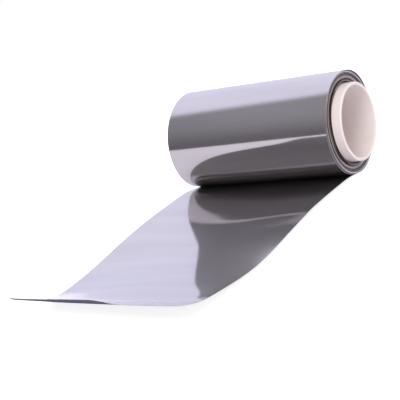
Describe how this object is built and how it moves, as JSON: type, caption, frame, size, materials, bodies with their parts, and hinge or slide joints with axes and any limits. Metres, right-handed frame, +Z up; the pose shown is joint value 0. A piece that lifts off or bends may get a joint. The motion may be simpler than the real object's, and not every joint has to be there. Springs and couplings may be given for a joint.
{
  "type": "metal foil roll",
  "caption": "Roll of bright thin titanium foil wound on a plastic core tube and lying on its side, with its free end drawn off flat in front and curled up at the cut edge.",
  "frame": {"origin": "on the axis of the core tube's bore, at the middle of its length", "axes": "+X along the roll's axis, +Z up, and the free end of the foil leaves towards -Y"},
  "size_m": [0.2196, 0.4095, 0.11],
  "materials": {
    "core_plastic": "off-white plastic, slightly satin",
    "titanium": "bright rolled titanium, close to a mirror, with faint rolling lines along the strip"
  },
  "bodies": {
    "root": {"core_tube": "core_plastic", "foil": "titanium"}
  },
  "joints": []
}
